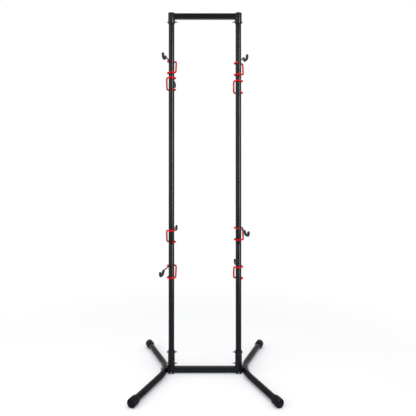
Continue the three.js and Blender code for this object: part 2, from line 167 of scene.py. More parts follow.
class Shader:
    """One material's nodes: its Principled shader and patterns on Object coordinates."""

    def __init__(self, name: str) -> None:
        """Makes the material with an untouched Principled shader.

        Args:
            name: The material's name.
        """
        self.material = bpy.data.materials.new(name)
        self.material.use_nodes = True
        self.tree = self.material.node_tree
        self.surface = next(n for n in self.tree.nodes if n.type == "BSDF_PRINCIPLED")
        self.place = self.tree.nodes.new("ShaderNodeTexCoord").outputs["Object"]

    def set(self, **values: float | Sequence[float]) -> None:
        """Sets sockets of the Principled shader, named with underscores for spaces."""
        for name, value in values.items():
            self.surface.inputs[name.replace("_", " ")].default_value = value

    def lead(self, value: Socket, name: str) -> None:
        """Links a value to the named socket of the Principled shader."""
        self.tree.links.new(value, self.surface.inputs[name])

    def noise(self, size: float, detail: float = 2.0, stretch: Sequence[float] = (1, 1, 1)) -> Socket:
        """Adds a cloudy pattern.

        Args:
            size: How far apart its blotches lie.
            detail: How many finer layers it has.
            stretch: How the pattern is squeezed along X, Y and Z.

        Returns:
            The pattern's value socket, about 0.5 on average.
        """
        mapping = add_node(self.tree, "ShaderNodeMapping", {"Vector": self.place, "Scale": stretch})
        sockets = {"Vector": mapping.outputs["Vector"], "Scale": 1 / size, "Detail": detail}
        return add_node(self.tree, "ShaderNodeTexNoise", sockets).outputs["Fac"]

    def cells(self, size: float) -> Socket:
        """Adds a pattern of cells this far apart and returns the distance from each cell's middle."""
        cell = add_node(self.tree, "ShaderNodeTexVoronoi", {"Vector": self.place, "Scale": 1 / size})
        return cell.outputs["Distance"]

    def colour(self, pattern: Socket, dark: Colour, light: Colour) -> None:
        """Colours the surface between two colours.

        Args:
            pattern: A pattern that chooses between them.
            dark: The colour at its low values.
            light: The colour at its high values.
        """
        ramp = add_node(self.tree, "ShaderNodeValToRGB", {"Fac": pattern})
        for stop, position, tone in zip(ramp.color_ramp.elements, PATTERN_RANGE, (dark, light)):
            stop.position = position
            stop.color = tone
        self.lead(ramp.outputs["Color"], "Base Color")

    def roughen(self, pattern: Socket, low: float, high: float) -> None:
        """Lets a pattern vary the roughness between two values.

        Args:
            pattern: A pattern from 0 to 1, mostly near 0.5.
            low: The roughness at its low values.
            high: The roughness at its high values.
        """
        limits = zip(("From Min", "From Max", "To Min", "To Max"), (*PATTERN_RANGE, low, high))
        ranged = add_node(self.tree, "ShaderNodeMapRange", {"Value": pattern, **dict(limits)})
        self.lead(ranged.outputs["Result"], "Roughness")

    def bump(self, *layers: tuple[Socket, float]) -> None:
        """Raises the surface by patterns.

        Args:
            *layers: Each pattern with its depth, the later ones on top of the earlier.
        """
        below: dict[str, Socket] = {}
        for height, depth in layers:
            bump = add_node(self.tree, "ShaderNodeBump", {"Height": height, "Distance": depth, **below})
            below = {"Normal": bump.outputs["Normal"]}
        self.lead(below["Normal"], "Normal")


@dataclass(frozen=True)
class Finish:
    """What every finish has: its slot in the record, its display colour and gloss, and how far both drift."""

    slot: Slot
    tone: tuple[int, int, int]
    roughness: float
    specular: float
    tone_range: tuple[float, float] = (1.0, 1.0)
    gloss_drift: float = 0.0

    def material(self) -> bpy.types.Material:
        """Builds the finish's material.

        Returns:
            The material, named after its slot.
        """
        shader = Shader(self.slot.value)
        shader.set(Specular_IOR_Level=self.specular)
        self.dress(shader)
        return shader.material

    def vary(self, shader: Shader, tone: Socket, gloss: Socket) -> None:
        """Lets one pattern vary the tone and another the roughness."""
        shader.colour(tone, *(linear(self.tone, lift) for lift in self.tone_range))
        shader.roughen(gloss, self.roughness - self.gloss_drift, self.roughness + self.gloss_drift)

    def dress(self, shader: Shader) -> None:
        """Wires the patterns of this finish into its shader."""
        raise NotImplementedError


@dataclass(frozen=True)
class PowderCoat(Finish):
    """Baked powder coat: an orange-peel skin over a smoother wave, with a slightly uneven gloss."""

    tone_range: tuple[float, float] = (0.85, 1.15)
    gloss_drift: float = 0.02
    drift_size: float = 0.048
    wave_size: float = 0.012
    wave_depth: float = 0.00002
    peel_size: float = 0.0016
    peel_depth: float = 0.0000025

    def dress(self, shader: Shader) -> None:
        """Wires in the drift of tone and gloss, the wave and the peel.

        Args:
            shader: The finish's shader.
        """
        self.vary(shader, shader.noise(self.drift_size, detail=3), shader.noise(self.wave_size, detail=4))
        peel = shader.noise(self.peel_size, detail=1)
        shader.bump((shader.noise(self.wave_size), self.wave_depth), (peel, self.peel_depth))


@dataclass(frozen=True)
class Moulded(Finish):
    """Moulded plastic or rubber with a fine spark-eroded grain and faint flow marks."""

    tone_range: tuple[float, float] = (0.8, 1.2)
    gloss_drift: float = 0.08
    grain_size: float = 0.0007
    grain_depth: float = 0.00004
    flow_size: float = 0.02

    def dress(self, shader: Shader) -> None:
        """Wires in the flow marks and the grain.

        Args:
            shader: The finish's shader.
        """
        flow = shader.noise(self.flow_size, detail=4)
        self.vary(shader, flow, flow)
        shader.bump((shader.noise(self.grain_size, detail=3), self.grain_depth))


@dataclass(frozen=True)
class ZincPlate(Finish):
    """Dull zinc plating: metal with soft blotches and fine turning marks round the shank."""

    tone_range: tuple[float, float] = (0.75, 1.25)
    gloss_drift: float = 0.1
    blotch_size: float = 0.003
    mark_size: float = 0.0004
    mark_depth: float = 0.00002
    mark_stretch: tuple[float, float, float] = (1, 0.2, 0.2)

    def dress(self, shader: Shader) -> None:
        """Wires in the blotches and the marks.

        Args:
            shader: The finish's shader.
        """
        shader.set(Metallic=1.0)
        blotch = shader.noise(self.blotch_size, detail=5)
        self.vary(shader, blotch, blotch)
        shader.bump((shader.noise(self.mark_size, stretch=self.mark_stretch), self.mark_depth))


@dataclass(frozen=True)
class DippedVinyl(Finish):
    """Thick dipped vinyl: a wet-looking skin with soft runs and a deeper tone where it is thick."""

    tone_range: tuple[float, float] = (0.88, 1.12)
    gloss_drift: float = 0.05
    run_size: float = 0.009
    run_depth: float = 0.00025
    sheen_size: float = 0.003
    skin_size: float = 0.00075
    skin_depth: float = 0.0000125

    def dress(self, shader: Shader) -> None:
        """Wires in the runs, the sheen and the skin.

        Args:
            shader: The finish's shader.
        """
        run = shader.noise(self.run_size)
        self.vary(shader, run, shader.noise(self.sheen_size, detail=3))
        shader.bump((run, self.run_depth), (shader.noise(self.skin_size), self.skin_depth))


@dataclass(frozen=True)
class FoamGrip(Finish):
    """Soft closed-cell rubber: a matt skin of tiny pores with a dusty bloom."""

    tone_range: tuple[float, float] = (0.75, 1.3)
    gloss_drift: float = 0.06
    bloom_size: float = 0.011
    dent_size: float = 0.011 / 3
    pore_size: float = 0.0009
    pore_depth: float = 0.00018

    def dress(self, shader: Shader) -> None:
        """Wires in the bloom, the dents and the pores.

        Args:
            shader: The finish's shader.
        """
        bloom = shader.noise(self.bloom_size, detail=4)
        self.vary(shader, bloom, bloom)
        dents, pores = shader.noise(self.dent_size), shader.cells(self.pore_size)
        shader.bump((dents, self.pore_depth), (pores, self.pore_depth))


FINISHES = (
    PowderCoat(Slot.GLOSS_BLACK, (16, 19, 24), roughness=0.27, specular=0.145),
    PowderCoat(Slot.SATIN_BLACK, (11, 12, 15), roughness=0.14, specular=0.085),
    Moulded(Slot.PLASTIC, (14, 14, 16), roughness=0.4, specular=0.12),
    Moulded(Slot.FOOT_RUBBER, (8, 10, 17), roughness=0.42, specular=0.085),
    ZincPlate(Slot.ZINC, (138, 142, 146), roughness=0.36, specular=0.5),
    DippedVinyl(Slot.RED_VINYL, (208, 2, 26), roughness=0.26, specular=0.08),
    FoamGrip(Slot.GRIP_RUBBER, (52, 50, 52), roughness=0.8, specular=0.12),
)


def put(name: str, data: bpy.types.ID | None) -> bpy.types.Object:
    """Puts an object in the scene.

    Args:
        name: The object's name.
        data: Its mesh, light or camera.

    Returns:
        The object.
    """
    thing = bpy.data.objects.new(name, data)
    bpy.context.scene.collection.objects.link(thing)
    return thing


def baked(carrier: bpy.types.Object) -> Mesh:
    """Turns an object's evaluated shape into a plain mesh.

    Args:
        carrier: The object, with the modifiers that shape it. It is used up.

    Returns:
        The plain mesh.
    """
    evaluated = carrier.evaluated_get(bpy.context.evaluated_depsgraph_get())
    mesh = bpy.data.meshes.new_from_object(evaluated)
    carrier.modifiers.clear()
    bpy.data.objects.remove(carrier)
    return mesh


class Tree:
    """A Geometry Nodes tree with named inputs, used once on an object and then taken off it."""

    def __init__(self, name: str) -> None:
        """Starts the tree with one geometry input and one geometry output.

        Args:
            name: The tree's name.
        """
        self.group = bpy.data.node_groups.new(name, "GeometryNodeTree")
        for way in ("INPUT", "OUTPUT"):
            self.group.interface.new_socket("Geometry", in_out=way, socket_type="NodeSocketGeometry")
        self.inputs = self.group.nodes.new("NodeGroupInput")
        self.outputs = self.group.nodes.new("NodeGroupOutput")

    def input(self, name: str, kind: str = "Float") -> Socket:
        """Adds a named input and returns its socket inside the tree."""
        self.group.interface.new_socket(name, in_out="INPUT", socket_type=f"NodeSocket{kind}")
        return self.inputs.outputs[name]

    def node(self, kind: str, sockets: dict[str | int, object], **settings: object) -> bpy.types.Node:
        """Adds a node with its inputs and settings."""
        return add_node(self.group, kind, sockets, **settings)

    def end(self, geometry: Socket) -> None:
        """Ends the tree with real geometry in the material that its input names.

        Args:
            geometry: The socket of what the tree has made.
        """
        real = self.node("GeometryNodeRealizeInstances", {"Geometry": geometry})
        dressed = self.node(
            "GeometryNodeSetMaterial",
            {"Geometry": real.outputs[0], "Material": self.input("Material", "Material")},
        )
        self.group.links.new(dressed.outputs[0], self.outputs.inputs[0])

    def run(self, mesh: Mesh, **values: object) -> Mesh:
        """Runs the tree on a mesh.

        Args:
            mesh: What the tree starts from. It is used up.
            **values: The tree's named inputs, with underscores for spaces.

        Returns:
            The mesh that comes out.
        """
        carrier = put(mesh.name, mesh)
        modifier = carrier.modifiers.new(self.group.name, "NODES")
        modifier.node_group = self.group
        for item in self.group.interface.items_tree:
            key = item.name.replace(" ", "_")
            if item.in_out == "INPUT" and key in values:
                modifier[item.identifier] = values[key]
        return baked(carrier)


def sweep_tree() -> Tree:
    """Builds the tree of a round section that follows a chain of points.

    Returns:
        The tree. The section is as thick at each point as the point's girth says.
    """
    tree = Tree("round sweep")
    sides = tree.input("Sides", "Int")
    line = tree.node("GeometryNodeMeshToCurve", {"Mesh": tree.inputs.outputs["Geometry"]})
    section = tree.node("GeometryNodeCurvePrimitiveCircle", {"Resolution": sides, "Radius": 1.0})
    girth = tree.node("GeometryNodeInputNamedAttribute", {"Name": GIRTH})
    tube = tree.node(
        "GeometryNodeCurveToMesh",
        {
            "Curve": line.outputs[0],
            "Profile Curve": section.outputs[0],
            "Scale": girth.outputs["Attribute"],
            "Fill Caps": True,
        },
    )
    tree.end(tube.outputs[0])
    return tree


def weld_tree() -> Tree:
    """Builds the tree of a weld bead along a closed seam.

    Returns:
        The tree. The bead is a row of overlapping ripples, each a little unlike the next.
    """
    tree = Tree("weld bead")
    pitch = tree.input("Pitch")
    width = tree.input("Width")
    seed = tree.input("Seed", "Int")
    seam = tree.node("GeometryNodeMeshToCurve", {"Mesh": tree.inputs.outputs["Geometry"]})
    places = tree.node(
        "GeometryNodeCurveToPoints", {"Curve": seam.outputs[0], "Length": pitch}, mode="LENGTH"
    )
    drop = tree.node(
        "GeometryNodeMeshUVSphere",
        {"Segments": RIPPLE_SEGMENTS, "Rings": RIPPLE_RINGS, "Radius": width},
    )
    flat = tree.node("GeometryNodeTransform", {"Geometry": drop.outputs[0], "Scale": RIPPLE_SHAPE})
    smallest, largest = RIPPLE_SIZES
    size = tree.node(
        "FunctionNodeRandomValue", {"Min": smallest, "Max": largest, "Seed": seed}, data_type="FLOAT"
    )
    ripples = tree.node(
        "GeometryNodeInstanceOnPoints",
        {
            "Points": places.outputs["Points"],
            "Instance": flat.outputs[0],
            "Rotation": places.outputs["Rotation"],
            "Scale": next(s for s in size.outputs if s.enabled),
        },
    )
    tree.end(ripples.outputs[0])
    return tree


def place_tree() -> Tree:
    """Builds the tree that puts one copy of a fastener at each point.

    Returns:
        The tree. Each copy is turned so that its own +Z follows the point's outward way.
    """
    tree = Tree("fasteners")
    pattern = tree.input("Fastener", "Object")
    shape = tree.node("GeometryNodeObjectInfo", {"Object": pattern})
    outward = tree.node("GeometryNodeInputNamedAttribute", {"Name": OUTWARD}, data_type="FLOAT_VECTOR")
    turn = tree.node(
        "FunctionNodeAlignRotationToVector", {"Vector": outward.outputs["Attribute"]}, axis="Z"
    )
    copies = tree.node(
        "GeometryNodeInstanceOnPoints",
        {
            "Points": tree.inputs.outputs["Geometry"],
            "Instance": shape.outputs["Geometry"],
            "Rotation": turn.outputs[0],
        },
    )
    tree.end(copies.outputs[0])
    return tree


class Workshop:
    """Holds the materials and trees, and puts finished meshes on the object."""

    def __init__(self) -> None:
        """Builds every finish and tree once."""
        self.materials = {f.slot: f.material() for f in FINISHES}
        self.sweep = sweep_tree()
        self.weld = weld_tree()
        self.copies = place_tree()
        self.count = 0

    def publish(
        self, name: str, mesh: Mesh, slot: Slot, nodes: Sequence[str], body: str = FRAME_BODY
    ) -> None:
        """Makes a finished mesh a piece of the object.

        Args:
            name: The piece's name.
            mesh: Its mesh, in place.
            slot: Its finish.
            nodes: The solid pieces that it stands for.
            body: The body that it moves with.
        """
        mesh.name = name
        mesh.materials.clear()
        mesh.materials.append(self.materials[slot])
        mesh.shade_smooth()
        mesh.set_sharp_from_angle(angle=SHARP_ANGLE)
        piece = put(name, mesh)
        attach(piece, body)
        if nodes:
            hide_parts(*nodes)
        self.count += 1
        log.info("%s: %d faces, %s, on %s", name, len(mesh.polygons), slot.value, body)

    def swept(self, points: Sequence[Vector], girths: Sequence[float], sides: int, slot: Slot) -> Mesh:
        """Sweeps a round section along a chain of points.

        Args:
            points: The centre line.
            girths: The radius at each point.
            sides: How many sides the section has.
            slot: The finish that the tree gives it.

        Returns:
            A closed mesh with its faces outwards.
        """
        chain = bpy.data.meshes.new("chain")
        chain.from_pydata(points, [(i, i + 1) for i in range(len(points) - 1)], [])
        chain.attributes.new(GIRTH, "FLOAT", "POINT").data.foreach_set("value", list(girths))
        return tidied(self.sweep.run(chain, Sides=sides, Material=self.materials[slot]))


def tidied(mesh: Mesh) -> Mesh:
    """Merges doubled points of a mesh and turns its faces outwards.

    Args:
        mesh: The mesh. It is used up.

    Returns:
        The clean mesh, without the attributes that a tree has read.
    """
    for name in (GIRTH, OUTWARD):
        if name in mesh.attributes:
            mesh.attributes.remove(mesh.attributes[name])
    shape = bmesh.new()
    shape.from_mesh(mesh)
    return plain_mesh(shape, mesh.name)


def plain_mesh(shape: bmesh.types.BMesh, name: str) -> Mesh:
    """Merges doubled points, turns the faces outwards and frees the working shape.

    Args:
        shape: The working shape. It is used up.
        name: The new mesh's name.

    Returns:
        The finished mesh.
    """
    bmesh.ops.remove_doubles(shape, verts=shape.verts, dist=TINY)
    bmesh.ops.recalc_face_normals(shape, faces=shape.faces)
    mesh = bpy.data.meshes.new(name)
    shape.to_mesh(mesh)
    shape.free()
    return mesh


def moved(mesh: Mesh, place: Matrix) -> Mesh:
    """Moves a mesh's points by a matrix and returns it."""
    mesh.transform(place)
    return mesh


def upright(node: str) -> tuple[float, float]:
    """The place along X and the radius of an upright round solid."""
    low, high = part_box(node)
    return (low.x + high.x) / 2, (high.x - low.x) / 2


def fillet(before: Vector, at: Vector, after: Vector, radius: float, steps: int) -> list[Vector]:
    """Rounds one corner of a chain of points.

    Args:
        before: The point before the corner.
        at: The corner.
        after: The point after it.
        radius: The bend's radius, or 0 to leave the corner sharp.
        steps: How many chords the bend has.

    Returns:
        The points round the bend, or the corner alone.
    """
    inward = (at - before).normalized()
    outward = (after - at).normalized()
    turn = inward.angle(outward)
    if radius <= 0 or turn < TINY:
        return [at]
    side = (outward - inward * inward.dot(outward)).normalized()
    start = at - inward * radius * math.tan(turn / 2)
    angles = [turn * k / steps for k in range(steps + 1)]
    return [start + inward * radius * math.sin(a) + side * radius * (1 - math.cos(a)) for a in angles]


def rounded(corners: Sequence[tuple[float, float, float]], loop: bool = True) -> list[Vector]:
    """Rounds the corners of a flat outline.

    Args:
        corners: Two coordinates and a fillet radius for each corner.
        loop: Whether the last corner joins the first.

    Returns:
        The outline's points, each with its second coordinate in Z.
    """
    points = [Vector((a, 0, b)) for a, b, _ in corners]
    outline = []
    for i, (_, _, radius) in enumerate(corners):
        ends = not loop and i in (0, len(corners) - 1)
        before, after = points[i - 1], points[(i + 1) % len(points)]
        outline += [points[i]] if ends else fillet(before, points[i], after, radius, FILLET_STEPS)
    return outline


def ring_at(shape: bmesh.types.BMesh, point: Vector, sides: int) -> Verts:
    """Adds a level ring of points, or one point where the radius is nothing.

    Args:
        shape: The working shape.
        point: The radius in X and the height in Z.
        sides: How many points the ring has.

    Returns:
        The ring's points in the shape.
    """
    if point.x < TINY:
        return [shape.verts.new((0, 0, point.z))]
    angles = [2 * math.pi * k / sides for k in range(sides)]
    return [shape.verts.new((point.x * math.cos(a), point.x * math.sin(a), point.z)) for a in angles]


def bridge(shape: bmesh.types.BMesh, low: Verts, high: Verts) -> None:
    """Joins two rings, either of which may be a single point, with faces.

    Args:
        shape: The working shape.
        low: One ring.
        high: The other.
    """
    if len(low) == 1 and len(high) == 1:
        return
    for k in range(max(len(low), len(high))):
        after = k + 1
        corners = [low[k % len(low)], low[after % len(low)], high[after % len(high)], high[k % len(high)]]
        shape.faces.new(dict.fromkeys(corners))


def skinned(shape: bmesh.types.BMesh, name: str, rings: list[Verts], loop: bool) -> Mesh:
    """Joins a row of rings into a closed mesh.

    Args:
        shape: The working shape that holds the rings. It is used up.
        name: The mesh's name.
        rings: The rings in their order.
        loop: Whether the last ring joins the first.

    Returns:
        The closed mesh.
    """
    for low, high in zip(rings, rings[1:] + rings[:1] if loop else rings[1:]):
        bridge(shape, low, high)
    return plain_mesh(shape, name)


def turned(name: str, outline: Sequence[Vector], sides: int = TUBE_SIDES, loop: bool = True) -> Mesh:
    """Turns radii in X and heights in Z about the Z axis. An outline without loop ends on the axis."""
    shape = bmesh.new()
    return skinned(shape, name, [ring_at(shape, p, sides) for p in outline], loop)


def lofted(name: str, rings: Sequence[Ring], loop: bool = False) -> Mesh:
    """Joins rings of equal length, or single points that close an end, into a closed mesh."""
    shape = bmesh.new()
    return skinned(shape, name, [[shape.verts.new(p) for p in ring] for ring in rings], loop)


class BentLine:
    """The centre line of a bent tube or wire: straights joined by round bends."""

    def __init__(self, corners: Sequence[tuple[Vector, float]], step: float) -> None:
        """Lays the line out.

        Args:
            corners: Where the straights would meet, each with the radius of its bend.
            step: The largest angle of a chord round a bend.
        """
        places = [at for at, _ in corners]
        points = [places[0]]
        for i in range(1, len(corners) - 1):
            before, at, after = places[i - 1 : i + 2]
            turn = (at - before).angle(after - at)
            points += fillet(before, at, after, corners[i][1], math.ceil(turn / step))
        points.append(places[-1])
        self.points = [points[0]]
        self.lengths = [0.0]
        for point in points[1:]:
            gap = (point - self.points[-1]).length
            if gap > TINY:
                self.lengths.append(self.lengths[-1] + gap)
                self.points.append(point)

    @property
    def length(self) -> float:
        """The line's whole length."""
        return self.lengths[-1]

    def at(self, length: float) -> Vector:
        """Finds the point at a length along the line.

        Args:
            length: The length from the line's start.

        Returns:
            The point, or the line's end for a greater length.
        """
        for a, b, start, end in zip(self.lengths, self.lengths[1:], self.points, self.points[1:]):
            if length <= b:
                return start.lerp(end, (length - a) / (b - a))
        return self.points[-1]

    def nearest(self, place: Vector) -> float:
        """The length at which the line's own points come nearest to a place."""
        return min(zip(self.lengths, self.points), key=lambda pair: (pair[1] - place).length)[0]

    def between(self, start: float, end: float) -> list[float]:
        """The lengths of the line's own points between two lengths."""
        return [s for s in self.lengths if start + TINY < s < end - TINY]


@dataclass
class Assembly:
    """A part of the tower, with the workshop that puts its finished pieces on the object."""

    shop: Workshop


@dataclass
class PostLine(Assembly):
    """One post: three tubes that plug into each other by swaged spigots, and the plug in its open top."""

    side: Side
    wall: float = 0.0015
    spigot_gap: float = 0.0003
    rim: float = 0.0006
    joint_round: float = 0.00125
    plug_round: float = 0.001
    plug_dish: float = 0.0006

    def __post_init__(self) -> None:
        """Takes the post's place and radius from the frame."""
        middle, self.radius = upright(f"post_middle_{self.side.word}")
        self.axis = Matrix.Translation((middle, 0, 0))

    def build(self) -> None:
        """Builds the three tubes and the plug."""
        names = [f"post_{part}_{self.side.word}" for part in ("lower", "middle", "upper")]
        for name, above in zip(names, [*names[1:], None]):
            mesh = self.tube(name, above)
            self.shop.publish(f"{name}_tube", moved(mesh, self.axis), Slot.GLOSS_BLACK, [name])
        plug = f"post_plug_{self.side.word}"
        self.shop.publish(f"{plug}_cap", moved(self.plug(plug), self.axis), Slot.PLASTIC, [plug])

    def tube(self, node: str, above: str | None) -> Mesh:
        """Builds one tube.

        Args:
            node: The solid that it stands for.
            above: The tube that it plugs into, or None at the top.

        Returns:
            The tube about its own axis.
        """
        low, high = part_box(node)
        bore = self.radius - self.wall
        corners = [(bore, low.z, 0), (self.radius, low.z, self.joint_round)]
        if above is None:
            corners += [(self.radius, high.z, self.rim), (bore, high.z, self.rim)]
            return turned(node, rounded(corners))
        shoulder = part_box(above)[0].z
        spigot = bore - self.spigot_gap
        neck = shoulder - self.wall
        corners += [
            (self.radius, shoulder, self.joint_round),
            (spigot, shoulder, 0),
            (spigot, high.z, self.rim),
            (spigot - self.wall, high.z, self.rim),
            (spigot - self.wall, neck, 0),
            (bore, neck - self.wall, 0),
        ]
        return turned(node, rounded(corners))

    def plug(self, node: str) -> Mesh:
        """Builds the plug, with a slightly dished top.

        Args:
            node: The solid that it stands for.

        Returns:
            The plug about its own axis.
        """
        low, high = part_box(node)
        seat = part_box(f"post_upper_{self.side.word}")[1].z
        flange = (high.x - low.x) / 2
        stem = self.radius - self.wall - self.spigot_gap
        corners = [
            (0, low.z, 0),
            (stem, low.z, self.rim),
            (stem, seat, 0),
            (flange, seat, 0),
            (flange, high.z, self.plug_round),
            (stem, high.z, self.rim),
            (stem - self.plug_round, high.z - self.plug_dish, self.rim),
            (0, high.z - self.plug_dish, 0),
        ]
        return turned(node, rounded(corners, loop=False), loop=False)


@dataclass
class SleevePair(Assembly):
    """The two socket tubes of one post: a short one at the head and a long one with notches at the foot."""

    side: Side
    bore_gap: float = 0.0003
    rim: float = 0.0011
    bore_rim: float = 0.00055
    notch_width: float = 0.006
    notch_height: float = 0.011
    notch_round: float = 0.0027
    cutter_reach: float = 1.2

    def build(self) -> None:
        """Builds both sleeves."""
        for part in ("top_sleeve", "base_sleeve"):
            node = f"{part}_{self.side.word}"
            mesh = self.tube(node)
            if part == "base_sleeve":
                mesh = self.notched(mesh, node)
            self.shop.publish(f"{node}_tube", mesh, Slot.GLOSS_BLACK, [node])

    def tube(self, node: str) -> Mesh:
        """Builds a sleeve with rounded rims.

        Args:
            node: The solid that it stands for.

        Returns:
            The sleeve, in place.
        """
        low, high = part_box(node)
        middle, radius = upright(node)
        bore = upright(f"post_middle_{self.side.word}")[1] + self.bore_gap
        corners = [
            (bore, low.z, self.bore_rim),
            (radius, low.z, self.rim),
            (radius, high.z, self.rim),
            (bore, high.z, self.bore_rim),
        ]
        return moved(turned(node, rounded(corners)), Matrix.Translation((middle, 0, 0)))

    def notched(self, mesh: Mesh, node: str) -> Mesh:
        """Cuts the drain notches through the front and the back of a sleeve's foot.

        Args:
            mesh: The sleeve. It is used up.
            node: The solid that it stands for.

        Returns:
            The notched sleeve.
        """
        low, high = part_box(node)
        half, foot, top = self.notch_width / 2, low.z - self.notch_height, low.z + self.notch_height
        bottom = [(-half, foot, 0), (half, foot, 0)]
        outline = rounded([*bottom, (half, top, self.notch_round), (-half, top, self.notch_round)])
        middle = Vector((upright(node)[0], 0, 0))
        depth = Vector((0, high.y * self.cutter_reach, 0))
        rings = [[p + middle + depth * sign for p in outline] for sign in (-1, 1)]
        ends = [[sum(ring, Vector()) / len(ring)] for ring in rings]
        cutter = put("notch cutter", lofted("notch", [ends[0], *rings, ends[1]]))
        carrier = put(node, mesh)
        cut = carrier.modifiers.new("notches", "BOOLEAN")
        cut.object = cutter
        cut.solver = "EXACT"
        made = tidied(baked(carrier))
        bpy.data.objects.remove(cutter)
        return made


@dataclass
class Crossbar(Assembly):
    """A rectangular tube between two sleeves, with its ends hollowed to them and a weld bead round each."""

    node: str
    sleeve: str
    corner: float = 0.003
    bead_width: float = 0.0021
    bead_pitch: float = 0.0017
    bead_inset: float = 0.0006
    edge_steps: int = 12

    def __post_init__(self) -> None:
        """Takes the bar's section and the sleeves' place from the frame."""
        self.low, self.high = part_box(self.node)
        self.reach, self.radius = upright(f"{self.sleeve}_right")

    def section(self) -> list[Vector]:
        """Draws the bar's outline, with points along its flats for the hollowed ends.

        Returns:
            The outline's points, with their depth in Y and their height in Z.
        """
        y, low, high = self.high.y, self.low.z, self.high.z
        outline = rounded([(a, b, self.corner) for a, b in ((y, low), (y, high), (-y, high), (-y, low))])
        points = []
        for a, b in zip(outline, outline[1:] + outline[:1]):
            steps = self.edge_steps if (b - a).length > self.corner * 2 else 1
            points += [a.lerp(b, k / steps) for k in range(steps)]
        return [Vector((0, p.x, p.z)) for p in points]

    def end(self, side: Side, inset: float = 0.0) -> Ring:
        """The bar's outline where it meets a sleeve, or a little short of it."""
        reach = [self.reach - math.sqrt(self.radius**2 - p.y**2) - inset for p in self.section()]
        return [Vector((side.value * x, p.y, p.z)) for x, p in zip(reach, self.section())]

    def build(self) -> None:
        """Builds the bar and its two weld beads."""
        rings = [self.end(Side.LEFT), self.end(Side.RIGHT)]
        middle = (self.low.z + self.high.z) / 2
        tips = [[Vector((side.value * (self.reach - self.radius), 0, middle))] for side in Side]
        mesh = lofted(self.node, [tips[0], *rings, tips[1]])
        self.shop.publish(f"{self.node}_tube", mesh, Slot.GLOSS_BLACK, [self.node])
        for side in Side:
            seam = self.end(side, self.bead_inset)
            chain = bpy.data.meshes.new("seam")
            chain.from_pydata(seam, [(i, (i + 1) % len(seam)) for i in range(len(seam))], [])
            bead = self.shop.weld.run(
                chain,
                Pitch=self.bead_pitch,
                Width=self.bead_width,
                Seed=len(self.node) + side.value,
                Material=self.shop.materials[Slot.GLOSS_BLACK],
            )
            self.shop.publish(f"{self.node}_weld_{side.word}", tidied(bead), Slot.GLOSS_BLACK, [])


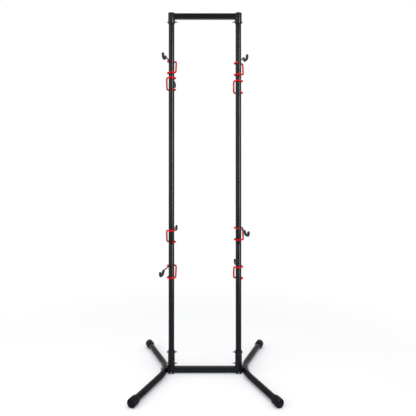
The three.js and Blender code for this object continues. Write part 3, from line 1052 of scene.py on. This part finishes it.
@dataclass
class Leg(Assembly):
    """One V-shaped leg: a bent tube, the saddle that seats it on its sleeve, and its two rubber feet."""

    side: Side
    radius: float = 0.017
    bend: float = 0.262
    reach: float = 0.356
    splay: float = math.radians(22.5)
    height: float = 0.0225
    step: float = math.radians(1.5)
    web: float = 0.0015
    seat_gap: float = 0.0003
    saddle_width: float = 0.032
    saddle_height: float = 0.028
    saddle_round: float = 0.0022
    saddle_round_steps: int = 3
    saddle_grid: int = 14
    foot_radius: float = 0.0235
    foot_depth: float = 0.038
    foot_wall: float = 0.013
    foot_edge: float = 0.006
    mouth_bore_round: float = 0.0008
    mouth_round: float = 0.0016
    collar_radius: float = 0.0215
    collar_length: float = 0.008
    collar_round: float = 0.004
    shoulder: float = 0.004
    shoulder_round: float = 0.003
    recess_radius: float = 0.015
    recess_depth: float = 0.0025
    recess_round: float = 0.0008
    recess_floor_round: float = 0.0012

    def __post_init__(self) -> None:
        """Works out where the leg's bend stands beside the sleeve."""
        self.post_x, self.sleeve_radius = upright("base_sleeve_right")
        self.apex = self.post_x + self.sleeve_radius + self.web + self.radius
        self.turn = Matrix.Rotation(0 if self.side is Side.RIGHT else math.pi, 4, "Z")
        corner = self.apex - self.bend * (1 / math.cos(self.splay) - 1)
        outer = corner + self.reach * math.tan(self.splay)
        front, rear = (Vector((outer, y, self.height)) for y in (-self.reach, self.reach))
        self.line = BentLine(
            [(front, 0), (Vector((corner, 0, self.height)), self.bend), (rear, 0)], self.step
        )

    def build(self) -> None:
        """Builds the tube, the saddle and the feet."""
        word = self.side.word
        girths = [self.radius] * len(self.line.points)
        tube = self.shop.swept(self.line.points, girths, TUBE_SIDES, Slot.SATIN_BLACK)
        self.shop.publish(f"leg_{word}_tube", moved(tube, self.turn), Slot.SATIN_BLACK, [f"leg_{word}"])
        saddle = f"leg_saddle_{word}"
        self.shop.publish(f"{saddle}_casting", moved(self.saddle(), self.turn), Slot.PLASTIC, [saddle])
        for end, way in (("front", -1), ("rear", 1)):
            node = f"foot_cap_{end}_{word}"
            self.shop.publish(f"{node}_rubber", self.foot(way * self.side.value), Slot.FOOT_RUBBER, [node])

    def saddle(self) -> Mesh:
        """Builds the saddle, hollowed to the round sleeve on one face and to the bent leg on the other.

        Returns:
            The saddle beside the right post.
        """
        shape = bmesh.new()
        shares = [k / self.saddle_grid - 0.5 for k in range(self.saddle_grid + 1)]
        sheets = []
        for face in (self.sleeve_face, self.leg_face):
            spots = [[face(y * self.saddle_width, z * self.saddle_height) for z in shares] for y in shares]
            sheets.append([[shape.verts.new(spot) for spot in row] for row in spots])
        rims = []
        for sheet in sheets:
            for a, b in zip(sheet, sheet[1:]):
                for k in range(self.saddle_grid):
                    shape.faces.new((a[k], a[k + 1], b[k + 1], b[k]))
            far, near = [row[-1] for row in sheet[1:]], [row[0] for row in sheet[-2:0:-1]]
            rims.append([*sheet[0], *far, *sheet[-1][-2::-1], *near])
        bridge(shape, *rims)
        return self.softened(plain_mesh(shape, "saddle"))

    def sleeve_face(self, y: float, z: float) -> Vector:
        """A point of the saddle's face on the sleeve."""
        out = math.sqrt((self.sleeve_radius + self.seat_gap) ** 2 - y**2)
        return Vector((self.post_x + out, y, self.height + z))

    def leg_face(self, y: float, z: float) -> Vector:
        """A point of the saddle's face on the leg."""
        inner = self.bend + math.sqrt((self.radius + self.seat_gap) ** 2 - z**2)
        return Vector((self.apex + self.bend - math.sqrt(inner**2 - y**2), y, self.height + z))

    def softened(self, mesh: Mesh) -> Mesh:
        """Rounds a casting's sharp edges.

        Args:
            mesh: The casting. It is used up.

        Returns:
            The rounded casting.
        """
        carrier = put(mesh.name, mesh)
        bevel = carrier.modifiers.new("edges", "BEVEL")
        bevel.width = self.saddle_round
        bevel.segments = self.saddle_round_steps
        bevel.angle_limit = SHARP_ANGLE
        bevel.use_clamp_overlap = True
        return tidied(baked(carrier))

    def foot(self, way: int) -> Mesh:
        """Builds a foot laid on the leg's end and pressed flat where it stands.

        Args:
            way: -1 for the leg's front end and 1 for its rear end, before the leg is turned to its side.

        Returns:
            The foot, in place.
        """
        mouth = -self.foot_depth
        collar_end = mouth + self.collar_length
        recess_floor = self.foot_wall - self.recess_depth
        recess_foot = self.recess_radius - self.recess_depth / 2
        corners = [
            (0, 0, 0),
            (self.radius, 0, 0),
            (self.radius, mouth, self.mouth_bore_round),
            (self.collar_radius, mouth, self.mouth_round),
            (self.collar_radius, collar_end, self.collar_round),
            (self.foot_radius, collar_end + self.shoulder, self.shoulder_round),
            (self.foot_radius, self.foot_wall, self.foot_edge),
            (self.recess_radius, self.foot_wall, self.recess_round),
            (recess_foot, recess_floor, self.recess_floor_round),
            (0, recess_floor, 0),
        ]
        mesh = turned("foot", rounded(corners, loop=False), loop=False)
        end, inner = self.line.points[:2] if way < 0 else self.line.points[:-3:-1]
        facing = (end - inner).to_track_quat("Z", "X").to_matrix().to_4x4()
        mesh.transform(self.turn @ Matrix.Translation(end) @ facing)
        for vertex in mesh.vertices:
            vertex.co.z = max(vertex.co.z, 0.0)
        return mesh


@dataclass
class Hexagon:
    """The rings of a hexagonal head or nut, its corners cut by a chamfer."""

    across: float
    sides: int = TUBE_SIDES
    chamfer: float = math.radians(30)
    crown_share: float = 0.96

    @property
    def crown(self) -> float:
        """The radius of a face's round flat, inside the chamfer."""
        return self.across / 2 * self.crown_share

    @property
    def angles(self) -> list[float]:
        """The angles of a ring's points."""
        return [2 * math.pi * k / self.sides for k in range(self.sides)]

    def flank(self, angle: float) -> float:
        """The distance from the axis to the flank at an angle."""
        sixth = math.pi / 3
        return self.across / 2 / math.cos((angle + sixth / 2) % sixth - sixth / 2)

    def round_ring(self, radius: float, z: float) -> Ring:
        """A round ring at a height."""
        return [Vector((radius * math.cos(a), radius * math.sin(a), z)) for a in self.angles]

    def hex_ring(self, z: float, way: int, share: float = 1.0) -> Ring:
        """Makes a ring on the flanks, drawn back from a face by the chamfer, with its corners fading.

        Args:
            z: The face's height.
            way: -1 to draw back downwards from a top face, 1 upwards from a bottom face, 0 for none.
            share: How large the hexagon is beside the full one.

        Returns:
            The ring's points.
        """
        points = []
        for angle in self.angles:
            reach = self.flank(angle) * share
            drop = max(0.0, reach - self.crown) * math.tan(self.chamfer)
            points.append(Vector((reach * math.cos(angle), reach * math.sin(angle), z + way * drop)))
        return points

    def face(self, z: float, way: int) -> list[Ring]:
        """The rings from a face's round flat out to the flanks."""
        return [self.round_ring(self.crown, z), self.hex_ring(z, way)]


@dataclass
class Fasteners(Assembly):
    """The through bolts and nuts of the sleeves, and the long bolts that hold the legs."""

    shank: float = 0.003
    across: float = 0.010
    head: float = 0.006
    nut: float = 0.006
    pitch: float = 0.001
    thread: float = 0.00045
    threads: int = 15
    leg_shank: float = 0.004
    leg_head: float = 0.0075
    leg_head_height: float = 0.005
    dome_edge: float = 0.25
    dome_steps: int = 8
    socket_across: float = 0.005
    socket_depth: float = 0.0028
    socket_mouth: float = 1.02
    socket_foot: float = 0.98
    socket_point: float = 1.2

    def build(self) -> None:
        """Builds the bolts, the nuts and the leg bolts."""
        places = ("top_bolt", "base_bolt_high", "base_bolt_low")
        bolts = [f"{place}_{side.word}" for side in Side for place in places]
        nuts = [name.replace("bolt", "nut") for name in bolts]
        legs = [f"leg_bolt_{side.word}" for side in Side]
        bolt = self.bolt(self.span(bolts[0]) - self.head)
        leg_bolt = self.leg_bolt(self.span(legs[0]) - self.leg_head_height)
        self.place("through_bolts", bolt, self.head, bolts)
        self.place("through_nuts", self.nut_shape(), self.nut, nuts)
        self.place("leg_bolts", leg_bolt, self.leg_head_height, legs)

    def span(self, node: str) -> float:
        """A fastener's length along X."""
        low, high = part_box(node)
        return high.x - low.x

    def outer_end(self, node: str, height: float) -> tuple[Vector, Vector]:
        """Finds where a head or nut is seated.

        Args:
            node: The solid fastener.
            height: The height of its head, or of the nut.

        Returns:
            The middle of its seat, and the way that its own +Z points, away from the middle of the tower.
        """
        low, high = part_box(node)
        middle = (low + high) / 2
        sign = 1 if middle.x > 0 else -1
        outer = high.x if sign > 0 else low.x
        return Vector((outer - sign * height, middle.y, middle.z)), Vector((sign, 0, 0))

    def place(self, name: str, shape: Mesh, height: float, nodes: list[str]) -> None:
        """Puts a copy of a fastener on the seat of each solid one.

        Args:
            name: The piece's name.
            shape: The fastener about its own +Z, with its seat at the origin.
            height: How far it stands out from its seat.
            nodes: The solids that the copies stand for.
        """
        seats = [self.outer_end(node, height) for node in nodes]
        pattern = put(f"{name} pattern", shape)
        points = bpy.data.meshes.new(name)
        points.from_pydata([seat for seat, _ in seats], [], [])
        outward = points.attributes.new(OUTWARD, "FLOAT_VECTOR", "POINT")
        outward.data.foreach_set("vector", [c for _, way in seats for c in way])
        made = self.shop.copies.run(points, Fastener=pattern, Material=self.shop.materials[Slot.ZINC])
        bpy.data.objects.remove(pattern)
        self.shop.publish(name, tidied(made), Slot.ZINC, nodes)

    def threaded(self, radius: float, tip: float) -> list[tuple[float, float]]:
        """Draws a bolt's thread from its chamfered tip upwards.

        Args:
            radius: The shank's radius.
            tip: The tip's height.

        Returns:
            The radii and heights of the thread's valleys and ridges.
        """
        valley = radius - self.thread
        ridges = [(valley, tip)]
        for k in range(self.threads):
            z = tip + self.pitch * (k + 0.5)
            ridges += [(valley, z), (radius, z + self.pitch / 2)]
        return [*ridges, (radius, tip + self.pitch * (self.threads + 1))]

    def bolt(self, length: float) -> Mesh:
        """Builds a hexagon bolt.

        Args:
            length: How far its shank hangs down from its seat.

        Returns:
            The bolt, with its seat at the origin.
        """
        hexagon = Hexagon(self.across)
        shank = [hexagon.round_ring(r, z) for r, z in self.threaded(self.shank, -length)]
        rings = [[Vector((0, 0, -length))], *shank, hexagon.round_ring(self.shank, 0)]
        rings += [*hexagon.face(0, 1), *reversed(hexagon.face(self.head, -1)), [Vector((0, 0, self.head))]]
        return lofted("bolt", rings)

    def nut_shape(self) -> Mesh:
        """Builds a nut that is chamfered on both faces.

        Returns:
            The nut, standing on the origin.
        """
        hexagon = Hexagon(self.across)
        bore = [hexagon.round_ring(self.shank, z) for z in (self.nut, 0)]
        rings = [*bore, *hexagon.face(0, 1), *reversed(hexagon.face(self.nut, -1))]
        return lofted("nut", rings, loop=True)

    def leg_bolt(self, length: float) -> Mesh:
        """Builds a button-headed bolt with a hexagon socket in its dome.

        Args:
            length: How far its shank hangs down from its seat.

        Returns:
            The bolt, with its seat at the origin.
        """
        hexagon = Hexagon(self.socket_across)
        top = self.leg_head_height
        bends = [math.pi / 2 * k / self.dome_steps for k in range(self.dome_steps - 1)]
        rises = [self.dome_edge + (1 - self.dome_edge) * math.sin(bend) for bend in bends]
        profile = [
            *self.threaded(self.leg_shank, -length),
            (self.leg_shank, 0),
            (self.leg_head, 0),
            *((self.leg_head * math.cos(bend), top * rise) for bend, rise in zip(bends, rises)),
        ]
        rings = [[Vector((0, 0, -length))], *(hexagon.round_ring(r, z) for r, z in profile)]
        rings += [hexagon.hex_ring(top, 0, self.socket_mouth)]
        rings += [hexagon.hex_ring(top - self.socket_depth, 0, self.socket_foot)]
        rings += [[Vector((0, 0, top - self.socket_depth * self.socket_point))]]
        return lofted("leg bolt", rings)


@dataclass(frozen=True)
class HookPlace:
    """Where a hook sits: its post, the side it faces, its tier and how many degrees it is swivelled."""

    side: Side
    facing: Facing
    tier: str
    swivel: float

    @property
    def body(self) -> str:
        """The hook's body."""
        return f"{self.tier}_{self.facing.name.lower()}_{self.side.word}_hook"


HOOK_PLACES = (
    HookPlace(Side.LEFT, Facing.FRONT, "upper", -10.7),
    HookPlace(Side.LEFT, Facing.REAR, "upper", -2.8),
    HookPlace(Side.RIGHT, Facing.FRONT, "upper", 9.4),
    HookPlace(Side.RIGHT, Facing.REAR, "upper", -3.5),
    HookPlace(Side.LEFT, Facing.REAR, "lower", -6.2),
    HookPlace(Side.LEFT, Facing.FRONT, "lower", -15.2),
    HookPlace(Side.RIGHT, Facing.FRONT, "lower", 11.6),
    HookPlace(Side.RIGHT, Facing.REAR, "lower", 1.6),
)


@dataclass
class WireHook(Assembly):
    """One hook: a bent wire, the red vinyl on its bracket and the soft grip on its cradle."""

    rod: float = 0.0035
    vinyl_wall: float = 0.0012
    grip_wall: float = 0.0036
    post_gap: float = 0.0013
    height: float = 0.065
    bar_reach: float = 0.0265
    bar_lean: float = 0.005
    bracket_bend: float = 0.012
    arm_bend: float = 0.014
    arm_lead: float = 0.001
    overlap: float = 0.002
    cradle_start: float = 0.120
    cradle_slope: float = 0.020
    cradle_width: float = 0.038
    cradle_dip: float = 0.018
    cradle_bend: float = 0.012
    tip_height: float = 0.024
    tip_lean: float = 0.005
    tail: float = math.radians(65)
    wrap: float = math.radians(50)
    arc: float = math.radians(66)
    step: float = math.radians(5)
    rim_steps: int = 6
    rim_tuck: float = 0.05
    rim_depth: float = 1.2
    end_girth: float = 0.00002

    def __post_init__(self) -> None:
        """Takes the post's radius from the frame and bends the wire."""
        self.wire = upright("post_middle_right")[1] + self.post_gap + self.rod + self.vinyl_wall
        self.line = self.bent()

    def on_post(self, angle: float, height: float, reach: float = 0.0) -> Vector:
        """A point beside the post, at an angle from the bar's side towards the front."""
        reach = reach or self.wire
        return Vector((reach * math.cos(angle), -reach * math.sin(angle), height))

    def around(self, start: float, end: float, height: float) -> list[tuple[Vector, float]]:
        """Lays the wire round the post at one height.

        Args:
            start: The angle that it comes from.
            end: The angle that it goes to.
            height: Its height.

        Returns:
            The corners of its straights, each with the radius of its bend.
        """
        count = math.ceil(abs(end - start) / self.arc)
        arc = (end - start) / count
        reach = self.wire / math.cos(arc / 2)
        return [(self.on_post(start + arc * (i + 0.5), height, reach), self.wire) for i in range(count)]

    def bent(self) -> BentLine:
        """Bends the wire from its free end at the bottom to the tip of its cradle.

        Returns:
            Its centre line about the post's axis, its bracket's middle at height 0 and its arm to the front.
        """
        low, high = -self.height / 2, self.height / 2
        reach = math.hypot(self.bar_reach, self.bar_lean)
        tangent = math.atan2(self.bar_lean, self.bar_reach) + math.acos(self.wire / reach)
        lead = self.arm_lead + self.arm_bend * math.tan(self.wrap / 2)
        root = self.on_post(math.pi - self.wrap, high)
        root += Vector((math.sin(self.wrap), -math.cos(self.wrap), 0)) * lead
        floor_start = self.cradle_start + self.cradle_slope
        floor_end = floor_start + self.cradle_width
        dip = high - self.cradle_dip
        aim = Vector((0, -(floor_start + floor_end) / 2, high)) - root

        def along(forward: float, z: float) -> Vector:
            """A point on the arm's way, at a distance in front of the post and a height."""
            share = (-forward - root.y) / aim.y
            return Vector((root.x + aim.x * share, -forward, z))

        return BentLine(
            [
                (self.on_post(math.pi + self.tail, low), 0),
                *self.around(math.pi + self.tail, tangent, low),
                (Vector((self.bar_reach, -self.bar_lean, low)), self.bracket_bend),
                (Vector((self.bar_reach, self.bar_lean, high)), self.bracket_bend),
                *self.around(2 * math.pi - tangent, math.pi - self.wrap, high),
                (root, self.arm_bend),
                (along(self.cradle_start, high), self.cradle_bend),
                (along(floor_start, dip), self.cradle_bend),
                (along(floor_end, dip), self.cradle_bend),
                (along(floor_end + self.tip_lean, dip + self.tip_height), 0),
            ],
            self.step,
        )

    def covering(self, start: float, end: float, wall: float, slot: Slot) -> Mesh:
        """Builds a skin over a stretch of the wire, domed over the wire's end and rolled in elsewhere.

        Args:
            start: The length along the wire where it starts.
            end: The length where it ends.
            wall: Its thickness.
            slot: Its finish.

        Returns:
            The closed skin.
        """
        radius = self.rod + wall
        rolled = (self.rod - wall * self.rim_tuck, wall * self.rim_depth)
        chain: list[tuple[float, float]] = []
        for edge, way in ((start, 1), (end, -1)):
            base, depth = (self.end_girth, radius) if edge in (0.0, self.line.length) else rolled
            for angle in (math.pi / 2 * k / self.rim_steps for k in range(self.rim_steps + 1)):
                girth = base + (radius - base) * math.sin(angle)
                chain.append((edge + way * depth * (1 - math.cos(angle)), girth))
        full_start, full_end = chain[self.rim_steps][0], chain[-1][0]
        chain += [(s, radius) for s in self.line.between(full_start, full_end)]
        chain.sort()
        return self.shop.swept([self.line.at(s) for s, _ in chain], [g for _, g in chain], WIRE_SIDES, slot)

    def build(self, place: HookPlace) -> None:
        """Builds one hook on its post.

        Args:
            place: Where it sits.
        """
        body = place.body
        low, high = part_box(f"{body}_sleeve")
        middle = Vector((upright(f"post_middle_{place.side.word}")[0], 0, (low.z + high.z) / 2))
        turn = Matrix.Rotation(place.facing.value + math.radians(place.swivel), 4, "Z")
        seat = Matrix.Translation(middle) @ turn
        line = self.line
        top = self.height / 2
        arm = line.nearest(Vector((0, -self.wire - self.arm_bend, top))) + self.overlap
        grip = line.nearest(Vector((0, -self.cradle_start, top))) - self.overlap
        inside = [s for s in line.lengths if self.rod < s < line.length - self.rod]
        girths = [self.rod] * len(inside)
        wire = self.shop.swept([line.at(s) for s in inside], girths, WIRE_SIDES, Slot.SATIN_BLACK)
        vinyl = self.covering(0.0, arm, self.vinyl_wall, Slot.RED_VINYL)
        pad = self.covering(grip, line.length, self.grip_wall, Slot.GRIP_RUBBER)
        for word, mesh, slot, node in (
            ("wire", wire, Slot.SATIN_BLACK, "rod"),
            ("vinyl", vinyl, Slot.RED_VINYL, "sleeve"),
            ("pad", pad, Slot.GRIP_RUBBER, "grip"),
        ):
            self.shop.publish(f"{body}_{word}", moved(mesh, seat), slot, [f"{body}_{node}"], body)


@dataclass(frozen=True)
class Lamp:
    """A soft area lamp that looks at a point of the tower, or one that only its gloss shows."""

    name: str
    place: tuple[float, float, float]
    aim: tuple[float, float, float]
    size: tuple[float, float]
    power: float
    gloss_only: bool = False

    def build(self) -> None:
        """Hangs the lamp."""
        data = bpy.data.lights.new(self.name, "AREA")
        data.shape = "RECTANGLE"
        data.size, data.size_y = self.size
        data.energy = self.power
        lamp = put(self.name, data)
        lamp.visible_diffuse = not self.gloss_only
        lamp.location = self.place
        lamp.rotation_euler = (Vector(self.place) - Vector(self.aim)).to_track_quat("Z", "Y").to_euler()


@dataclass
class Studio:
    """The camera, the pale floor, the white surroundings and the lamps."""

    lens: float = 38.5
    sensor: float = 36.0
    eye: tuple[float, float, float] = (-0.0167, -2.4926, 1.1497)
    pitch: float = 0.0066
    image_side: float = 416.0
    axis_pixel: tuple[float, float] = (201.97, 164.07)
    floor_radius: float = 14.0
    floor_sides: int = 96
    floor_drop: float = 0.0002
    floor_fade: tuple[float, float] = (0.7, 1.9)
    floor_tone: Colour = (0.84, 0.83, 0.81, 1)
    floor_glow: Colour = (0.17, 0.185, 0.215, 1)
    white: Colour = (1, 1, 1, 1)
    ambient: float = 0.66
    card_size: tuple[float, float] = (2.6, 5.0)
    card_distance: float = 4.2
    card_glow: float = 0.25
    lamps: tuple[Lamp, ...] = (
        Lamp("strip right", (2.0, -2.5, 1.55), (0.0, 0.0, 1.2), (0.65, 3.05), 250, gloss_only=True),
        Lamp("band left", (-2.3, -2.1, 1.72), (0.0, 0.0, 1.2), (1.8, 3.4), 26, gloss_only=True),
        Lamp("soft left", (-2.6, -1.9, 1.9), (0.0, 0.0, 1.0), (2.4, 3.2), 38),
        Lamp("top", (0.4, -0.6, 3.4), (0.0, 0.0, 0.6), (2.0, 2.0), 36),
    )

    def build(self) -> None:
        """Sets the whole stage up."""
        self.camera()
        self.surroundings()
        self.floor()
        self.card()
        for lamp in self.lamps:
            lamp.build()
        bpy.context.scene.view_settings.view_transform = "Standard"

    def camera(self) -> None:
        """Stands the camera where the photograph was taken from, with the same framing."""
        data = bpy.data.cameras.new("camera")
        data.sensor_width = self.sensor
        data.lens = self.lens
        data.shift_x = (self.image_side / 2 - self.axis_pixel[0]) / self.image_side
        data.shift_y = (self.axis_pixel[1] - self.image_side / 2) / self.image_side
        camera = put("camera", data)
        camera.location = self.eye
        camera.rotation_euler = (math.pi / 2 + self.pitch, 0, 0)
        bpy.context.scene.camera = camera

    def surroundings(self) -> None:
        """Makes the world white to the camera and in reflections, and a softer light elsewhere."""
        world = bpy.data.worlds.new("surroundings")
        bpy.context.scene.world = world
        world.use_nodes = True
        tree = world.node_tree
        strength = add_node(tree, "ShaderNodeMapRange", {"Value": self.seen(tree), "To Min": self.ambient})
        background = tree.nodes["Background"]
        background.inputs["Color"].default_value = self.white
        tree.links.new(strength.outputs["Result"], background.inputs["Strength"])

    def seen(self, tree: bpy.types.NodeTree) -> Socket:
        """Tells apart the rays that show a thing from those that only light by it.

        Args:
            tree: The nodes to add to.

        Returns:
            A socket that is 1 for camera, glossy and transmission rays, and 0 for the rest.
        """
        path = tree.nodes.new("ShaderNodeLightPath")
        total = path.outputs["Is Camera Ray"]
        for ray in ("Is Glossy Ray", "Is Transmission Ray"):
            most = add_node(tree, "ShaderNodeMath", {0: total, 1: path.outputs[ray]}, operation="MAXIMUM")
            total = most.outputs[0]
        return total

    def floor_material(self) -> bpy.types.Material:
        """Makes the floor matt with a faint glow near the tower and plain white far away.

        Returns:
            The material. It glows only for the rays that show it.
        """
        material = bpy.data.materials.new("pale floor")
        material.use_nodes = True
        tree = material.node_tree
        matt = add_node(tree, "ShaderNodeBsdfDiffuse", {"Color": self.floor_tone}).outputs[0]
        glow = add_node(tree, "ShaderNodeEmission", {"Color": self.floor_glow}).outputs[0]
        lit = add_node(tree, "ShaderNodeAddShader", {0: matt, 1: glow}).outputs[0]
        white = add_node(tree, "ShaderNodeEmission", {"Color": self.white}).outputs[0]
        place = tree.nodes.new("ShaderNodeTexCoord").outputs["Object"]
        distance = add_node(tree, "ShaderNodeVectorMath", {0: place}, operation="LENGTH").outputs["Value"]
        start, end = self.floor_fade
        reach = {"Value": distance, "From Min": start, "From Max": end}
        fade = add_node(tree, "ShaderNodeMapRange", reach, interpolation_type="SMOOTHSTEP").outputs["Result"]
        far = add_node(tree, "ShaderNodeMixShader", {0: fade, 1: lit, 2: white}).outputs[0]
        shown = add_node(tree, "ShaderNodeMixShader", {0: self.seen(tree), 1: matt, 2: far}).outputs[0]
        tree.links.new(shown, tree.nodes["Material Output"].inputs["Surface"])
        return material

    def floor(self) -> None:
        """Lays a pale floor that keeps soft shadows near the tower and fades to white far away."""
        radius = [Vector((0, 0, 0)), Vector((self.floor_radius, 0, 0))]
        mesh = turned("floor", radius, self.floor_sides, loop=False)
        mesh.materials.append(self.floor_material())
        floor = put("floor", mesh)
        floor.location.z = -self.floor_drop

    def card(self) -> None:
        """Stands a dark card in front of the tower that shows only in its gloss, between the lamps."""
        half, top = self.card_size[0] / 2, self.card_size[1]
        corners = [(x, -self.card_distance, z) for x, z in ((-half, 0), (half, 0), (half, top), (-half, top))]
        mesh = bpy.data.meshes.new("card")
        mesh.from_pydata(corners, [], [(0, 1, 2, 3)])
        card = put("card", mesh)
        card.visible_camera = card.visible_diffuse = card.visible_transmission = card.visible_shadow = False
        material = bpy.data.materials.new("dark card")
        material.use_nodes = True
        tree = material.node_tree
        glow = add_node(tree, "ShaderNodeEmission", {"Color": self.white, "Strength": self.card_glow})
        tree.links.new(glow.outputs[0], tree.nodes["Material Output"].inputs["Surface"])
        mesh.materials.append(material)


def main() -> None:
    """Builds the stage and every sub-assembly, and reports each piece."""
    logging.basicConfig(level=logging.INFO, format="%(name)s: %(message)s")
    Studio().build()
    shop = Workshop()
    for side in Side:
        PostLine(shop, side).build()
        SleevePair(shop, side).build()
        Leg(shop, side).build()
    Crossbar(shop, "top_crossbar", "top_sleeve").build()
    Crossbar(shop, "base_crossbar", "base_sleeve").build()
    Fasteners(shop).build()
    hook = WireHook(shop)
    for place in HOOK_PLACES:
        hook.build(place)
    log.info("%d pieces", shop.count)


if __name__ == "__main__":
    main()
